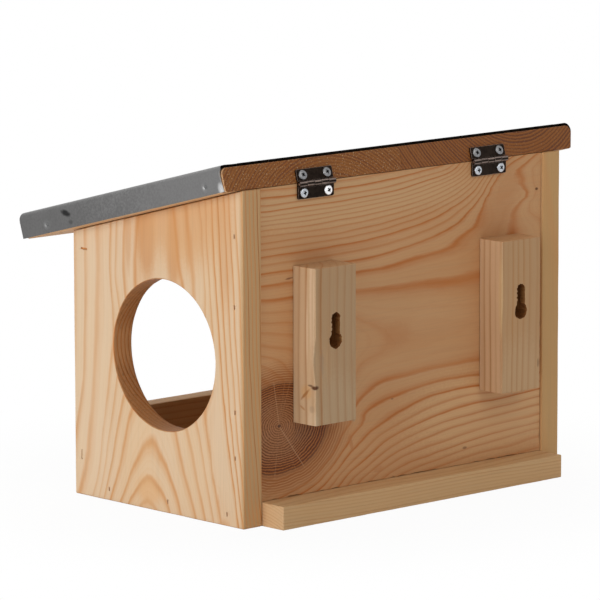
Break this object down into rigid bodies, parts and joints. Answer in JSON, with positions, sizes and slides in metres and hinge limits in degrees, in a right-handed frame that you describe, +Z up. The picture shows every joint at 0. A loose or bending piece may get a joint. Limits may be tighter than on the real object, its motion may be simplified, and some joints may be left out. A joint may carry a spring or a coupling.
{
  "type": "squirrel feeder box",
  "caption": "Wall-hung pine squirrel feeder: open-front box with round side holes, hinged metal-covered sloping roof and keyholed hanging battens.",
  "frame": {"origin": "middle of the box's underside: half-way across its width and half-way along the side panels' depth", "axes": "+Z up, -Y towards the open front, +Y towards the wall that the box hangs on, +X to the right as seen from the front"},
  "size_m": [0.3002, 0.2105, 0.2205],
  "materials": {
    "pine": "planed, unfinished pine",
    "batten_pine": "planed, unfinished pine",
    "roof_pine": "sawn end grain",
    "zinc_sheet": "galvanised, dull, finely mottled",
    "hinge_metal": "dark bronzed, glossy",
    "screw_zinc": "bright zinc plated",
    "wire_steel": "plain steel wire"
  },
  "bodies": {
    "box": {"side_panel_right": "pine", "side_panel_left": "pine", "back_panel": "pine", "floor_board": "pine", "front_lip": "pine", "front_top_rail": "pine", "hanging_batten_right": "batten_pine", "hanging_batten_left": "batten_pine", "hinge_leaf_right_box": "hinge_metal", "hinge_pin_right": "hinge_metal", "hinge_leaf_left_box": "hinge_metal", "hinge_pin_left": "hinge_metal", "hinge_screw_right_box_1": "screw_zinc", "hinge_screw_right_box_2": "screw_zinc", "hinge_screw_left_box_1": "screw_zinc", "hinge_screw_left_box_2": "screw_zinc", "batten_screw_right_1": "screw_zinc", "batten_screw_right_2": "screw_zinc", "batten_screw_left_1": "screw_zinc", "batten_screw_left_2": "screw_zinc", "brad_right_back_1": "wire_steel", "brad_right_back_2": "wire_steel", "brad_right_back_3": "wire_steel", "brad_right_back_4": "wire_steel", "brad_right_floor_1": "wire_steel", "brad_right_floor_2": "wire_steel", "brad_right_floor_3": "wire_steel", "staple_right_lip": "wire_steel", "staple_right_rail": "wire_steel", "brad_left_back_1": "wire_steel", "brad_left_back_2": "wire_steel", "brad_left_back_3": "wire_steel", "brad_left_back_4": "wire_steel", "brad_left_floor_1": "wire_steel", "brad_left_floor_2": "wire_steel", "brad_left_floor_3": "wire_steel", "staple_left_lip": "wire_steel", "staple_left_rail": "wire_steel"},
    "lid": {"roof_board_right": "roof_pine", "roof_board_left": "roof_pine", "roof_sheet": "zinc_sheet", "hinge_leaf_right_roof": "hinge_metal", "hinge_leaf_left_roof": "hinge_metal", "hinge_screw_right_roof_1": "screw_zinc", "hinge_screw_right_roof_2": "screw_zinc", "hinge_screw_left_roof_1": "screw_zinc", "hinge_screw_left_roof_2": "screw_zinc", "flange_nail_right_1": "wire_steel", "flange_nail_right_2": "wire_steel", "flange_nail_left_1": "wire_steel", "flange_nail_left_2": "wire_steel"}
  },
  "joints": [
    {"name": "lid_hinge", "type": "hinge", "parent": "box", "child": "lid", "pos_m": [0, 0.078, 0.20432], "axis": [-1, 0, 0], "range_deg": [0, 104]}
  ]
}
